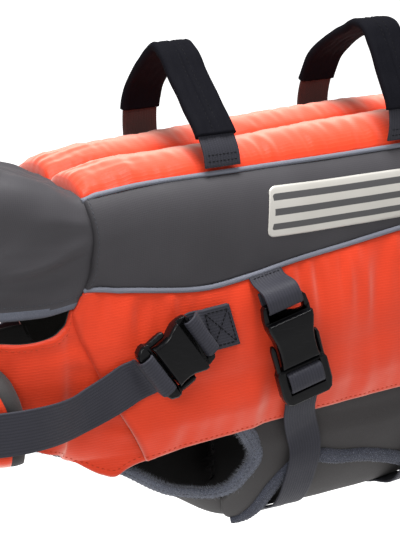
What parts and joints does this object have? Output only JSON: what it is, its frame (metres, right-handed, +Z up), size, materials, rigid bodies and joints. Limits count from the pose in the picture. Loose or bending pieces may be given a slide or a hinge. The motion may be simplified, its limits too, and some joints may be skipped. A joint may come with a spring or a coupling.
{
  "type": "dog life jacket",
  "caption": "Padded back-and-side flotation vest for a dog, with grab handles on top, belly band, chest float and webbing straps with side-release buckles, in its worn form with no wearer",
  "frame": {"origin": "middle of the wearer's back, on the underside of the back pad, at the middle of the jacket's length", "axes": "+X towards the tail, -Y towards the wearer's left side, where the buckles are, +Z up"},
  "size_m": [0.4357, 0.1665, 0.3296],
  "materials": {
    "orange_ripstop": "woven ripstop, satin",
    "grey_shell": "plain weave, matt",
    "neoprene": "smooth jersey-faced neoprene, matt",
    "reflective_piping": "reflective piping, satin",
    "brushed_binding": "brushed loop binding, matt",
    "webbing": "ribbed webbing, satin",
    "sleeve_neoprene": "soft neoprene, matt",
    "buckle_acetal": "moulded, glossy"
  },
  "bodies": {
    "root": {"back_pad": "orange_ripstop", "side_flap_left": "orange_ripstop", "side_flap_right": "orange_ripstop", "chest_bib": "orange_ripstop", "chest_tab": "orange_ripstop", "front_float": "orange_ripstop", "side_panel_left": "grey_shell", "side_panel_right": "grey_shell", "neck_collar": "grey_shell", "belly_wing_left": "neoprene", "belly_wing_right": "neoprene", "belly_panel": "neoprene", "piping_top_left": "reflective_piping", "piping_top_right": "reflective_piping", "piping_lower_left": "reflective_piping", "piping_lower_right": "reflective_piping", "leg_binding_left": "brushed_binding", "leg_binding_right": "brushed_binding", "wing_binding_left": "brushed_binding", "wing_binding_right": "brushed_binding", "handle_front": "webbing", "handle_rear": "webbing", "girth_tab_front": "webbing", "girth_tab_rear": "webbing", "girth_strap_front": "webbing", "girth_strap_rear": "webbing", "neck_tab": "webbing", "neck_strap": "webbing", "handle_sleeve_front": "sleeve_neoprene", "handle_sleeve_rear": "sleeve_neoprene", "girth_buckle_front_socket": "buckle_acetal", "girth_buckle_front_prongs": "buckle_acetal", "girth_buckle_rear_socket": "buckle_acetal", "girth_buckle_rear_prongs": "buckle_acetal", "neck_buckle_socket": "buckle_acetal", "neck_buckle_prongs": "buckle_acetal"}
  },
  "joints": []
}
